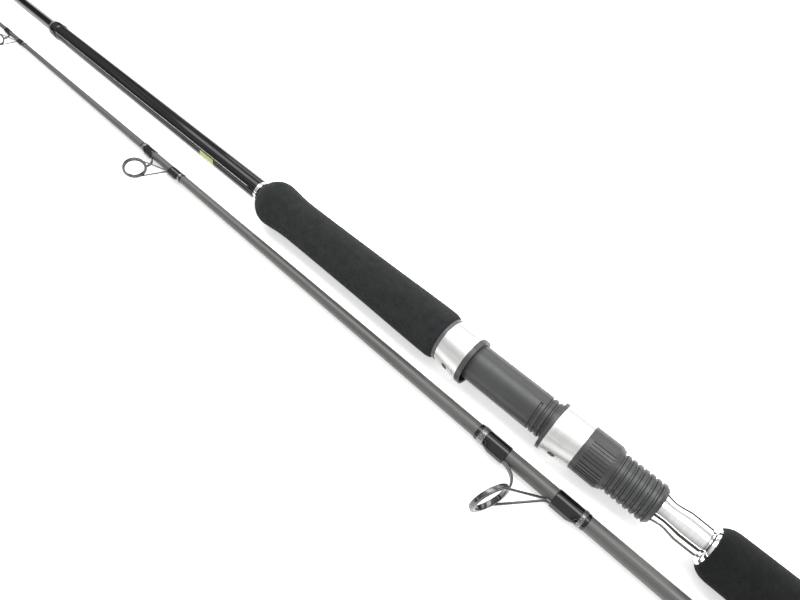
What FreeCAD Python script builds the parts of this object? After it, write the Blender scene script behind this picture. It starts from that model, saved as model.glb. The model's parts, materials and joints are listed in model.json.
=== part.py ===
import FreeCAD, Part
import math
import os
import Sketcher

# A two-section spinning rod, taken apart, its sections lying side by side on the ground.
# Millimetres, +X toward the tip, +Y from the butt section toward the tip section, +Z up.
# The origin is at the middle of the layout's footprint, on the ground.
# Both sections are drawn along their own axes with "stations": distances along the axis,
# counted toward the tip from the middle of the reel seat's smooth barrel.

Vector = FreeCAD.Vector
doc = FreeCAD.newDocument("spinning_rod")
sheet = doc.addObject("Spreadsheet::Sheet", "dims")

DIMENSIONS = [
    # overall layout
    ("butt_end", -576),
    ("tip_end", 950),
    ("middle_station", 187.93),
    ("butt_axis_side", -28.18),
    ("tip_axis_side", 3.32),
    ("grip_radius", 18.5),
    ("tip_axis_rise", 6.8),
    # butt blank and ferrule
    ("blank_butt_radius", 8.95),
    ("blank_front_station", 260),
    ("blank_front_radius", 8.4),
    ("blank_middle_station", 480),
    ("blank_middle_radius", 7.7),
    ("blank_shoulder_radius", 7.2),
    ("blank_wall", 1.5),
    ("spigot_start", 574),
    ("spigot_length", 100),
    ("spigot_radius", 5.25),
    # grips
    ("cap_length", 28),
    ("grip_bore", 9.05),
    ("rear_grip_front", -147.5),
    ("foregrip_rear", 46.2),
    ("foregrip_front", 238),
    # reel seat
    ("seat_rear", -115),
    ("barrel_radius", 13.3),
    ("barrel_bore", 10.4),
    ("thread_start", -30.5),
    ("thread_pitch", 4),
    ("thread_depth", 1),
    ("hood_radius", 15.6),
    ("hood_sheet", 0.6),
    ("hood_bulge", 1.45),
    ("fixed_hood_front", 43.7),
    ("fixed_hood_mouth", 20.5),
    ("fixed_hood_rim", 24),
    ("movable_hood_mouth", -41.5),
    ("movable_hood_rim", -44),
    ("movable_hood_rear", -63.6),
    ("pocket_depth", 16.5),
    ("pocket_mouth_shift", 3.4),
    ("pocket_mouth_radius", 14),
    ("pocket_end_shift", 1.6),
    ("pocket_end_radius", 13.5),
    # lock nut
    ("nut_front", -63.8),
    ("nut_length", 21.3),
    ("nut_radius", 15.5),
    ("nut_bore", 13.45),
    # tip blank
    ("socket_end", -300),
    ("socket_length", 105),
    ("socket_radius", 5.3),
    ("tip_base_radius", 6.2),
    ("tip_radius", 0.95),
    # guides
    ("guide_roll", 13),
    ("guide_lean", 22),
]

# Each guide: name, station of its ring, outer radius of its ring, blank radius under it.
GUIDES = [
    ("guide_1", -41.5, 13.5, 5.1),
    ("guide_2", 350, 9.85, 3.56),
    ("guide_3", 617, 7.2, 2.36),
    ("guide_4", 765, 5.4, 1.77),
    ("guide_5", 867, 4.4, 1.32),
]
TIP_TOP = ("tip_top", 950, 3.2, 0.95)

# Heights of the ring centres above the blank's axis, in ring radii.
GUIDE_RISE = 2.3
TIP_TOP_RISE = 1.35

# Angles of the first groove of each group on one side of the lock nut, and the steps after it.
NUT_GROOVE_STARTS = (90, 36)
NUT_GROOVE_STEP = -8.4
NUT_GROOVES_IN_GROUP = 6

for guide, station, ring, blank in GUIDES + [TIP_TOP]:
    DIMENSIONS.append((guide + "_station", station))
    DIMENSIONS.append((guide + "_ring", ring))
    DIMENSIONS.append((guide + "_blank", blank))

for row, (alias, value) in enumerate(DIMENSIONS, start=1):
    sheet.set("A%d" % row, alias)
    sheet.set("B%d" % row, str(value))
    sheet.setAlias("B%d" % row, alias)
doc.recompute()


def size(expression):
    """The value, in millimetres or degrees, of an expression on the sheet's cells."""
    return float(sheet.evalExpression(str(expression)))


# ---------------------------------------------------------------- sketch helpers

def plane(body, role):
    """One of a body's own origin planes."""
    for feature in body.Origin.OriginFeatures:
        if feature.Role == role:
            return feature
    raise ValueError(role)


def sketch_on(body, role, name, offset=None):
    """A sketch on an origin plane, moved along the plane's normal by an expression."""
    sketch = body.newObject("Sketcher::SketchObject", name)
    sketch.AttachmentSupport = [(plane(body, role), "")]
    sketch.MapMode = "FlatFace"
    if offset is not None:
        sketch.setExpression("AttachmentOffset.Base.z", offset)
    doc.recompute()
    return sketch


def bind(sketch, kind, geometry, point, expression):
    """Hold one coordinate of a sketch point to an expression."""
    value = size(expression)
    if abs(value) < 1e-9:
        axis = -2 if kind == "DistanceX" else -1
        sketch.addConstraint(Sketcher.Constraint("PointOnObject", geometry, point, axis))
        return
    index = sketch.addConstraint(Sketcher.Constraint(kind, -1, 1, geometry, point, value))
    sketch.setExpression("Constraints[%d]" % index, str(expression))


def bind_radius(sketch, geometry, expression):
    """Hold a circle's or an arc's radius to an expression."""
    index = sketch.addConstraint(Sketcher.Constraint("Radius", geometry, size(expression)))
    sketch.setExpression("Constraints[%d]" % index, str(expression))


def outline(sketch, corners):
    """A closed straight-sided outline, each corner given by two expressions."""
    first = sketch.GeometryCount
    count = len(corners)
    spots = [Vector(size(x), size(y), 0) for x, y in corners]
    for i in range(count):
        sketch.addGeometry(Part.LineSegment(spots[i], spots[(i + 1) % count]), False)
    for i in range(count):
        after = first + (i + 1) % count
        sketch.addConstraint(Sketcher.Constraint("Coincident", first + i, 2, after, 1))
    for i, (x, y) in enumerate(corners):
        bind(sketch, "DistanceX", first + i, 1, x)
        bind(sketch, "DistanceY", first + i, 1, y)


def circle(sketch, x, radius):
    """A circle whose centre is on the sketch's first axis."""
    index = sketch.addGeometry(Part.Circle(Vector(size(x), 0, 0), Vector(0, 0, 1), size(radius)), False)
    bind(sketch, "DistanceX", index, 3, x)
    bind(sketch, "DistanceY", index, 3, "0")
    bind_radius(sketch, index, radius)


# ---------------------------------------------------------------- body helpers

def rod_body(label, section):
    """A body drawn along a section's axis, placed on that axis."""
    body = doc.addObject("PartDesign::Body", label)
    body.Label = label
    body.setExpression("Placement.Base.x", "-dims.middle_station")
    if section == "butt":
        body.setExpression("Placement.Base.y", "dims.butt_axis_side")
        body.setExpression("Placement.Base.z", "dims.grip_radius")
    else:
        body.setExpression("Placement.Base.y", "dims.tip_axis_side")
        body.setExpression("Placement.Base.z", "dims.tip_axis_rise")
    return body


def turn(body, name, corners):
    """Turn an outline of (station, radius) corners about the body's X axis."""
    sketch = sketch_on(body, "XZ_Plane", name + "_outline")
    outline(sketch, corners)
    feature = body.newObject("PartDesign::Revolution", name)
    feature.Profile = sketch
    feature.ReferenceAxis = (sketch, ["H_Axis"])
    feature.Angle = 360
    doc.recompute()
    return feature


def turned(label, section, corners):
    """A whole sub-part that is one turned outline."""
    body = rod_body(label, section)
    turn(body, label + "_turning", corners)
    return body


def tube(label, section, rear, front, bore, radius):
    """A plain sleeve between two stations."""
    return turned(label, section, [(rear, bore), (front, bore), (front, radius), (rear, radius)])


def soften(body, radius, wanted):
    """Round the edges that a test picks."""
    tip = body.Tip
    edges = ["Edge%d" % (i + 1) for i, edge in enumerate(tip.Shape.Edges) if wanted(edge)]
    feature = body.newObject("PartDesign::Fillet", body.Name + "_rounding")
    feature.Base = (tip, edges)
    feature.Radius = radius
    doc.recompute()
    return feature


def rim(station, radius):
    """Tests for the circular edge at a station and radius."""
    def test(edge):
        curve = edge.Curve
        if not isinstance(curve, Part.Circle):
            return False
        return abs(curve.Center.x - station) < 0.01 and abs(curve.Radius - radius) < 0.01
    return test


def rims(*places):
    """Tests for any of several circular edges."""
    tests = [rim(size(station), size(radius)) for station, radius in places]
    return lambda edge: any(test(edge) for test in tests)


def loft(body, kind, name, sections):
    """A straight-sided loft, added or cut, through sketches in order."""
    feature = body.newObject(kind, name)
    feature.Profile = sections[0]
    feature.Sections = sections[1:]
    feature.Ruled = True
    doc.recompute()
    return feature


# ---------------------------------------------------------------- butt section

def make_butt_blank():
    spigot_end = "dims.spigot_start + dims.spigot_length"
    return turned("butt_blank", "butt", [
        ("dims.butt_end + 10", "dims.blank_butt_radius"),
        ("dims.butt_end + 10", "dims.blank_butt_radius - dims.blank_wall"),
        ("dims.blank_front_station", "dims.blank_front_radius - dims.blank_wall"),
        (spigot_end, "dims.spigot_radius - dims.blank_wall"),
        (spigot_end, "dims.spigot_radius"),
        ("dims.spigot_start", "dims.spigot_radius"),
        ("dims.spigot_start", "dims.blank_shoulder_radius"),
        ("dims.blank_middle_station", "dims.blank_middle_radius"),
        ("dims.blank_front_station", "dims.blank_front_radius"),
    ])


def make_butt_cap():
    front = "dims.butt_end + dims.cap_length"
    body = turned("butt_cap", "butt", [
        ("dims.butt_end", "0"),
        ("dims.butt_end + 10", "0"),
        ("dims.butt_end + 10", "dims.grip_bore"),
        (front, "dims.grip_bore"),
        (front, "dims.grip_radius"),
        ("dims.butt_end", "dims.grip_radius"),
    ])
    soften(body, 6, rims(("dims.butt_end", "dims.grip_radius")))
    soften(body, 1, rims((front, "dims.grip_radius")))
    return body


def make_rear_grip():
    rear = "dims.butt_end + dims.cap_length"
    return turned("rear_grip", "butt", [
        (rear, "dims.grip_bore"),
        ("dims.rear_grip_front", "dims.grip_bore"),
        ("dims.rear_grip_front", "13.9"),
        ("dims.rear_grip_front - 4.5", "16.7"),
        ("dims.rear_grip_front - 200", "16.7"),
        (rear, "17.8"),
    ])


def make_end_sleeve():
    body = turned("seat_end_sleeve", "butt", [
        ("dims.rear_grip_front", "9"),
        ("dims.seat_rear", "9"),
        ("dims.seat_rear", "11.3"),
        ("dims.seat_rear - 7.8", "9.8"),
        ("dims.seat_rear - 14.4", "11.2"),
        ("dims.seat_rear - 27.8", "11.2"),
        ("dims.seat_rear - 29", "10.7"),
        ("dims.seat_rear - 30.2", "11.7"),
        ("dims.rear_grip_front", "12.4"),
    ])
    soften(body, 3, rims(("dims.seat_rear - 7.8", "9.8")))
    return body


def thread_groove(body, name, start, height, kind, tip_radius, base_radius, tip_half, base_half):
    """A helical groove or ridge about X, from a station toward the butt.

    Its section is a trapezium with its narrow side at tip_radius.
    """
    sketch = sketch_on(body, "XZ_Plane", name + "_section")
    outline(sketch, [
        ("%s - %s" % (start, tip_half), tip_radius),
        ("%s + %s" % (start, tip_half), tip_radius),
        ("%s + %s" % (start, base_half), base_radius),
        ("%s - %s" % (start, base_half), base_radius),
    ])
    feature = body.newObject(kind, name)
    feature.Profile = sketch
    feature.ReferenceAxis = (sketch, ["H_Axis"])
    feature.Mode = 0
    feature.Pitch = size("dims.thread_pitch")
    feature.setExpression("Pitch", "dims.thread_pitch")
    feature.Height = height
    feature.Reversed = True
    feature.LeftHanded = False
    doc.recompute()
    return feature


def foot_pocket(body, name, mouth, end):
    """Cut the room that a reel foot slides into: round, off the axis toward +Y, narrowing inward."""
    sketches = []
    for tag, station in (("mouth", mouth), ("end", end)):
        sketch = sketch_on(body, "YZ_Plane", "%s_%s" % (name, tag), station)
        circle(sketch, "dims.pocket_%s_shift" % tag, "dims.pocket_%s_radius" % tag)
        sketches.append(sketch)
    return loft(body, "PartDesign::SubtractiveLoft", name, sketches)


def bulged(body, name, plain_end, bulge_end, inset, kind="PartDesign::AdditiveLoft"):
    """The hood shape: round at its plain end, swollen toward +Y at its mouth."""
    plain = sketch_on(body, "YZ_Plane", name + "_plain", plain_end)
    circle(plain, "0", "dims.hood_radius - %s" % inset)
    swollen = sketch_on(body, "YZ_Plane", name + "_swollen", bulge_end)
    circle(swollen, "dims.hood_bulge", "dims.hood_radius + dims.hood_bulge - %s" % inset)
    return loft(body, kind, name, [plain, swollen])


def collar(body, name, start, length, inset, reverse=False):
    """A short straight rim with the swollen section of a hood."""
    sketch = sketch_on(body, "YZ_Plane", name + "_section", start)
    circle(sketch, "dims.hood_bulge", "dims.hood_radius + dims.hood_bulge - %s" % inset)
    feature = body.newObject("PartDesign::Pad", name)
    feature.Profile = sketch
    feature.setExpression("Length", length)
    feature.Reversed = reverse
    doc.recompute()
    return feature


def bore(body, name, rear, front, radius):
    """Turn a plain hole about the body's X axis."""
    sketch = sketch_on(body, "XZ_Plane", name + "_outline")
    outline(sketch, [(rear, "0"), (front, "0"), (front, radius), (rear, radius)])
    feature = body.newObject("PartDesign::Groove", name)
    feature.Profile = sketch
    feature.ReferenceAxis = (sketch, ["H_Axis"])
    feature.Angle = 360
    doc.recompute()
    return feature


def make_seat_barrel():
    """The seat's tube with the fixed hood's core, a pocket, a moulding line and the thread."""
    body = rod_body("seat_barrel", "butt")
    bulged(body, "fixed_hood_core", "dims.fixed_hood_front", "dims.fixed_hood_rim", "dims.hood_sheet")
    collar(body, "fixed_hood_lip", "dims.fixed_hood_mouth",
           "dims.fixed_hood_rim - dims.fixed_hood_mouth", "0")
    foot_pocket(body, "fixed_foot_pocket", "dims.fixed_hood_mouth",
                "dims.fixed_hood_mouth + dims.pocket_depth")
    turn(body, "barrel", [
        ("dims.seat_rear", "0"),
        ("dims.fixed_hood_front", "0"),
        ("dims.fixed_hood_front", "dims.barrel_radius"),
        ("dims.seat_rear + 2", "dims.barrel_radius"),
        ("dims.seat_rear", "dims.barrel_radius - 1.6"),
    ])
    line = sketch_on(body, "XY_Plane", "moulding_line_outline")
    outline(line, [
        ("-20", "dims.barrel_radius - 1"),
        ("dims.fixed_hood_mouth + 2", "dims.barrel_radius - 1"),
        ("dims.fixed_hood_mouth + 2", "dims.barrel_radius + 0.15"),
        ("-20", "dims.barrel_radius + 0.15"),
    ])
    ridge = body.newObject("PartDesign::Pad", "moulding_line")
    ridge.Profile = line
    ridge.Midplane = True
    ridge.Length = 0.5
    doc.recompute()
    bore(body, "barrel_bore", "dims.seat_rear - 1", "dims.fixed_hood_front + 1", "dims.barrel_bore")
    root = "dims.barrel_radius - dims.thread_depth"
    thread_groove(body, "outside_thread", "dims.thread_start", 92, "PartDesign::SubtractiveHelix",
                  root, "dims.barrel_radius + 0.4", "0.5", "1.2")
    return body


def make_hood_shell(label, section, plain_end, bulge_end, hole_station):
    body = rod_body(label, section)
    bulged(body, label + "_outside", plain_end, bulge_end, "0")
    bulged(body, label + "_inside", plain_end, bulge_end, "dims.hood_sheet",
           "PartDesign::SubtractiveLoft")
    hole = sketch_on(body, "XZ_Plane", label + "_hole_outline")
    circle(hole, hole_station, "2.4")
    cut = body.newObject("PartDesign::Pocket", label + "_hole")
    cut.Profile = hole
    cut.Length = 25
    doc.recompute()
    return body


def make_movable_hood_insert():
    body = rod_body("movable_hood_insert", "butt")
    bulged(body, "insert_core", "dims.movable_hood_rear", "dims.movable_hood_rim", "dims.hood_sheet")
    collar(body, "insert_lip", "dims.movable_hood_rim",
           "dims.movable_hood_mouth - dims.movable_hood_rim", "0")
    foot_pocket(body, "movable_foot_pocket", "dims.movable_hood_mouth",
                "dims.movable_hood_mouth - dims.pocket_depth")
    bore(body, "insert_bore", "dims.movable_hood_rear - 1", "dims.movable_hood_mouth + 1",
         "dims.barrel_radius + 0.08")
    bore(body, "nut_seat", "dims.movable_hood_rear - 1", "dims.movable_hood_rear + 4", "14.3")
    bore(body, "ring_groove", "dims.movable_hood_rear + 1.5", "dims.movable_hood_rear + 2.5", "14.72")
    return body


def make_retaining_ring():
    return tube("retaining_ring", "butt", "dims.movable_hood_rear + 1.6",
                "dims.movable_hood_rear + 2.4", "13.95", "14.7")


def make_lock_nut():
    rear = "dims.nut_front - dims.nut_length"
    body = turned("lock_nut", "butt", [
        (rear, "dims.nut_bore"),
        ("dims.nut_front + 3.8", "dims.nut_bore"),
        ("dims.nut_front + 3.8", "14.2"),
        ("dims.movable_hood_rear + 2.5", "14.2"),
        ("dims.movable_hood_rear + 2.5", "13.85"),
        ("dims.movable_hood_rear + 1.5", "13.85"),
        ("dims.movable_hood_rear + 1.5", "14.2"),
        ("dims.nut_front", "14.2"),
        ("dims.nut_front", "dims.nut_radius"),
        (rear + " + 3.4", "dims.nut_radius"),
        (rear, "13.95"),
    ])
    thread_groove(body, "inside_thread", "dims.thread_start - 9 * dims.thread_pitch", 15.2,
                  "PartDesign::AdditiveHelix", "dims.barrel_radius - dims.thread_depth + 0.2",
                  "dims.nut_bore + 0.2", "0.3", "0.8")
    grooves = sketch_on(body, "YZ_Plane", "grip_grooves_outline", "dims.nut_front - 3.2")
    angles = [start + NUT_GROOVE_STEP * step
              for start in NUT_GROOVE_STARTS for step in range(NUT_GROOVES_IN_GROUP)]
    inner = size("dims.nut_radius - 0.55")
    outer = size("dims.nut_radius + 0.5")
    for angle in angles:
        across = Vector(math.cos(math.radians(angle)), math.sin(math.radians(angle)), 0)
        along = Vector(-across.y, across.x, 0) * 0.4
        corners = [across * inner - along, across * outer - along,
                   across * outer + along, across * inner + along]
        outline(grooves, [("%.6f" % c.x, "%.6f" % c.y) for c in corners])
    cut = body.newObject("PartDesign::Pocket", "grip_grooves")
    cut.Profile = grooves
    cut.Length = 16
    doc.recompute()
    pattern = body.newObject("PartDesign::PolarPattern", "grip_groove_groups")
    pattern.Originals = [cut]
    pattern.Axis = (plane(body, "X_Axis"), [""])
    pattern.Angle = 360
    pattern.Occurrences = 2
    body.Tip = pattern
    doc.recompute()
    return body


def make_foregrip():
    return turned("foregrip", "butt", [
        ("dims.foregrip_rear", "dims.grip_bore"),
        ("dims.foregrip_front", "dims.grip_bore"),
        ("dims.foregrip_front", "10.2"),
        ("dims.foregrip_front - 1.5", "12.6"),
        ("dims.foregrip_front - 5.5", "15.8"),
        ("dims.foregrip_front - 10", "17.9"),
        ("dims.foregrip_front - 14", "dims.grip_radius"),
        ("dims.foregrip_front - 20", "18.1"),
        ("dims.foregrip_front - 31", "16.9"),
        ("dims.foregrip_front - 42", "16.5"),
        ("120", "17"),
        ("dims.foregrip_rear + 6", "17.9"),
        ("dims.foregrip_rear + 2", "17.3"),
        ("dims.foregrip_rear", "16"),
    ])


# ---------------------------------------------------------------- tip section

def make_tip_blank():
    socket_floor = "dims.socket_end + dims.socket_length"
    return turned("tip_blank", "tip", [
        ("dims.socket_end", "dims.socket_radius"),
        (socket_floor, "dims.socket_radius"),
        (socket_floor, "4.3"),
        ("580", "1.4"),
        ("580", "0"),
        ("dims.tip_end - 3", "0"),
        ("dims.tip_end - 3", "dims.tip_radius"),
        ("580", "2.5"),
        ("422", "3.25"),
        ("304", "3.75"),
        ("-25", "5.05"),
        ("-126", "5.35"),
        ("dims.socket_end", "dims.tip_base_radius"),
    ])


def guide_body(label, guide):
    """A body drawn about the blank's axis, with +Z out through the guide's ring."""
    body = doc.addObject("PartDesign::Body", label)
    body.Label = label
    body.setExpression("Placement.Base.x", "dims.%s_station - dims.middle_station" % guide)
    body.setExpression("Placement.Base.y", "dims.tip_axis_side")
    body.setExpression("Placement.Base.z", "dims.tip_axis_rise")
    body.setExpression("Placement.Rotation.Axis.x", "1")
    body.setExpression("Placement.Rotation.Axis.y", "0")
    body.setExpression("Placement.Rotation.Axis.z", "0")
    body.setExpression("Placement.Rotation.Angle", "dims.guide_roll - 90")
    return body


def ring_section(body, name, ring, rise, low, high, half):
    """Turn a rectangle about the ring's leaning axis.

    The ring's centre is rise ring radii above the blank's axis; low, high and half, its inner and
    outer radii and half its width, are in ring radii too.
    """
    sketch = sketch_on(body, "XZ_Plane", name + "_outline")
    lean_sin = "sin(dims.guide_lean * 1 deg)"
    lean_cos = "cos(dims.guide_lean * 1 deg)"

    def spot(outward, onward):
        x = "%s * (%g * %s + %g * %s)" % (ring, outward, lean_sin, onward, lean_cos)
        z = "%s * (%g + %g * %s - %g * %s)" % (ring, rise, outward, lean_cos, onward, lean_sin)
        return x, z

    outline(sketch, [spot(low, -half), spot(high, -half), spot(high, half), spot(low, half)])
    ends = [spot(0, -1), spot(0, 1)]
    line = Part.LineSegment(*[Vector(size(x), size(z), 0) for x, z in ends])
    index = sketch.addGeometry(line, True)
    for point, (x, z) in enumerate(ends, start=1):
        bind(sketch, "DistanceX", index, point, x)
        bind(sketch, "DistanceY", index, point, z)
    feature = body.newObject("PartDesign::Revolution", name)
    feature.Profile = sketch
    feature.ReferenceAxis = (sketch, ["Axis0"])
    feature.Angle = 360
    doc.recompute()
    return feature


def bent_leg(body, name, start, bend, end, height, aside, splay, section, bend_radius=None):
    """A leg that lies along the blank from start to bend, then turns up and runs to its end.

    start and bend are stations, end is (station, distance from the foot's line). The leg's plane
    is turned by splay degrees about the foot's line, which is height above the blank's axis and
    aside from it toward +Y. section is ("round", radius) or ("flat", width, thickness). Without
    a bend_radius the leg is one curve from the bend to its end.
    """
    route = sketch_on(body, "XZ_Plane", name + "_route", "-(%s)" % aside)
    route.setExpression("AttachmentOffset.Base.y", height)
    route.setExpression("AttachmentOffset.Rotation.Axis.x", "1")
    route.setExpression("AttachmentOffset.Rotation.Axis.y", "0")
    route.setExpression("AttachmentOffset.Rotation.Axis.z", "0")
    route.setExpression("AttachmentOffset.Rotation.Angle", splay)
    doc.recompute()
    run = abs(size(end[0]) - size(bend))
    climb = size(end[1])
    side = math.copysign(1, size(end[0]) - size(bend))
    if bend_radius is None:
        radius = (run ** 2 + climb ** 2) / (2 * climb)
        turn_angle = 2 * math.atan2(climb, run)
    else:
        radius = size(bend_radius)
        reach = math.hypot(run, climb - radius)
        turn_angle = math.atan2(climb - radius, run) + math.asin(radius / reach)

    def on_bend(angle):
        """The point of the bend where the leg has turned by an angle."""
        return Vector(size(bend) + side * radius * math.sin(angle),
                      radius * (1 - math.cos(angle)), 0)

    route.addGeometry(Part.LineSegment(Vector(size(start), 0, 0), on_bend(0)), False)
    low = on_bend(0)
    high = on_bend(turn_angle)
    middle = on_bend(turn_angle / 2)
    if side > 0:
        route.addGeometry(Part.Arc(low, middle, high), False)
        arc_start = 1
    else:
        route.addGeometry(Part.Arc(high, middle, low), False)
        arc_start = 2
    arc_end = 3 - arc_start
    route.addConstraint(Sketcher.Constraint("Tangent", 0, 2, 1, arc_start))
    bind(route, "DistanceX", 0, 1, start)
    bind(route, "DistanceX", 0, 2, bend)
    bind(route, "DistanceY", 0, 1, "0")
    bind(route, "DistanceY", 0, 2, "0")
    edges = ["Edge1", "Edge2"]
    if bend_radius is None:
        bind(route, "DistanceX", 1, arc_end, end[0])
        bind(route, "DistanceY", 1, arc_end, end[1])
    else:
        route.addGeometry(Part.LineSegment(high, Vector(size(end[0]), climb, 0)), False)
        route.addConstraint(Sketcher.Constraint("Tangent", 1, arc_end, 2, 1))
        bind_radius(route, 1, bend_radius)
        bind(route, "DistanceX", 2, 2, end[0])
        bind(route, "DistanceY", 2, 2, end[1])
        edges.append("Edge3")
    across = sketch_on(body, "YZ_Plane", name + "_section", start)
    if section[0] == "round":
        centre = Vector(size(aside), size(height), 0)
        index = across.addGeometry(Part.Circle(centre, Vector(0, 0, 1), size(section[1])), False)
        bind(across, "DistanceX", index, 3, aside)
        bind(across, "DistanceY", index, 3, height)
        bind_radius(across, index, section[1])
    else:
        half_width = "(%s) / 2" % section[1]
        low = "%s - (%s) / 2" % (height, section[2])
        high = "%s + (%s) / 2" % (height, section[2])
        outline(across, [("-" + half_width, low), (half_width, low),
                         (half_width, high), ("-" + half_width, high)])
    doc.recompute()
    pipe = body.newObject("PartDesign::AdditivePipe", name)
    pipe.Profile = across
    pipe.Spine = (route, edges)
    doc.recompute()
    return pipe


def rear_legs(body, name, ring, stations, climb, foot, radius, bend_radius=None):
    """Two round legs, side by side along the blank, that splay apart to the ring's two sides."""
    start, bend, end = stations
    aside = "0.07 * " + ring
    outward = "(0.92 * %s - %s)" % (ring, aside)
    reach = "sqrt(%s^2 + %s^2)" % (outward, climb)
    for tag, sign in (("left", ""), ("right", "-")):
        splay = "%satan2(%s, %s)" % (sign, outward, climb)
        beside = "%s(0 - %s)" % (sign, aside)
        bent_leg(body, "%s_%s_leg" % (name, tag), start, bend, (end, reach), foot, beside, splay,
                 ("round", radius), bend_radius)


def rear_foot(body, name, ring, foot):
    """The flat foot that both rear legs grow out of."""
    sketch = sketch_on(body, "YZ_Plane", name + "_outline", "-3.3 * " + ring)
    half = "0.13 * " + ring
    low = "%s - 0.055 * %s" % (foot, ring)
    high = "%s + 0.04 * %s" % (foot, ring)
    outline(sketch, [("-" + half, low), (half, low), (half, high), ("-" + half, high)])
    pad = body.newObject("PartDesign::Pad", name)
    pad.Profile = sketch
    pad.setExpression("Length", "1.2 * " + ring)
    doc.recompute()
    return pad


def make_guide_frame(guide):
    """A bent frame: a holder for the ring, one front strap and two splayed rear legs."""
    body = guide_body(guide + "_frame", guide)
    ring = "dims.%s_ring" % guide
    foot = "(dims.%s_blank + 0.06 * %s)" % (guide, ring)
    ring_section(body, guide + "_holder", ring, GUIDE_RISE, 0.9, 1, 0.11)
    rear_foot(body, guide + "_rear_foot", ring, foot)
    rear_legs(body, guide, ring, ("-3 * " + ring, "-2.02 * " + ring, "-0.092 * " + ring),
              "(2.07 * %s - %s)" % (ring, foot), foot, "0.06 * " + ring, "0.4 * " + ring)
    strap_top = "(%g - 0.9) * %s - %s" % (GUIDE_RISE, ring, foot)
    bent_leg(body, guide + "_strap", "1.8 * " + ring, "0.61 * " + ring,
             ("-0.36 * " + ring, strap_top), foot, "0", "0",
             ("flat", "0.24 * " + ring, "0.1 * " + ring))
    return body


def make_guide_ring(guide):
    body = guide_body(guide + "_ring", guide)
    ring = "dims.%s_ring" % guide
    ring_section(body, guide + "_insert", ring, GUIDE_RISE, 0.77, 0.9, 0.14)
    inner = 0.77 * size(ring)
    soften(body, 0.06 * size(ring), lambda edge: isinstance(edge.Curve, Part.Circle)
           and abs(edge.Curve.Radius - inner) < 0.01)
    return body


def make_guide_sleeve(label, guide, spans, lift, cover):
    """Thread bands round the blank, bulging over a foot by lift; spans are in ring radii."""
    body = guide_body(label, guide)
    ring = "dims.%s_ring" % guide
    blank = "dims.%s_blank" % guide
    for count, (rear, front) in enumerate(spans):
        name = "%s_band_%d" % (label, count)
        sketch = sketch_on(body, "YZ_Plane", name + "_outline", "%g * %s" % (rear, ring))
        for height, radius in (("%g * %s" % (lift, ring), "%s + %g * %s" % (blank, cover, ring)),
                               ("0", blank + " + 0.06")):
            index = sketch.addGeometry(Part.Circle(Vector(0, size(height), 0), Vector(0, 0, 1),
                                                   size(radius)), False)
            bind(sketch, "DistanceX", index, 3, "0")
            bind(sketch, "DistanceY", index, 3, height)
            bind_radius(sketch, index, radius)
        pad = body.newObject("PartDesign::Pad", name)
        pad.Profile = sketch
        pad.setExpression("Length", "%g * %s" % (front - rear, ring))
        doc.recompute()
    return body


def make_tip_top_frame():
    body = guide_body("tip_top_frame", "tip_top")
    ring = "dims.tip_top_ring"
    turn(body, "tip_top_tube", [
        ("-13", "dims.tip_radius + 0.05"),
        ("-1.5", "dims.tip_radius + 0.05"),
        ("-1.5", "0"),
        ("0", "0"),
        ("0", "1.5"),
        ("-13", "1.5"),
    ])
    ring_section(body, "tip_top_holder", ring, TIP_TOP_RISE, 0.84, 1, 0.22)
    rear_legs(body, "tip_top", ring, ("-11", "-7", "-0.02 * " + ring),
              "(%g * %s - 1.35)" % (TIP_TOP_RISE, ring), "1.35", "0.45")
    return body


def make_tip_top_ring():
    body = guide_body("tip_top_ring", "tip_top")
    ring_section(body, "tip_top_insert", "dims.tip_top_ring", TIP_TOP_RISE, 0.6, 0.84, 0.27)
    return body


# ---------------------------------------------------------------- the whole rod

make_butt_blank()
make_butt_cap()
make_rear_grip()
make_end_sleeve()
make_seat_barrel()
make_hood_shell("fixed_hood_shell", "butt", "dims.fixed_hood_front", "dims.fixed_hood_rim", "33.7")
tube("seat_arbor_rear", "butt", "-112", "-62", "9", "dims.barrel_bore - 0.02")
tube("seat_arbor_front", "butt", "-12", "38", "8.9", "dims.barrel_bore - 0.02")
tube("front_trim_ring", "butt", "dims.fixed_hood_front", "dims.foregrip_rear", "9", "16")
make_foregrip()
tube("check_wrap", "butt", "dims.foregrip_front", "dims.foregrip_front + 3.2",
     "dims.blank_front_radius + 0.2", "9.4")
tube("winding_check", "butt", "dims.foregrip_front + 3.2", "dims.foregrip_front + 6.4",
     "dims.blank_front_radius + 0.17", "8.9")
tube("stop_wrap", "butt", "dims.spigot_start - 13", "dims.spigot_start - 2",
     "dims.blank_shoulder_radius + 0.15", "dims.blank_shoulder_radius + 0.9")
tube("stop_trim", "butt", "dims.spigot_start - 2", "dims.spigot_start",
     "dims.blank_shoulder_radius + 0.05", "dims.blank_shoulder_radius + 0.6")

make_movable_hood_insert()
make_hood_shell("movable_hood_shell", "butt", "dims.movable_hood_rear", "dims.movable_hood_rim",
                "-52.4")
make_retaining_ring()
make_lock_nut()

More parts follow.
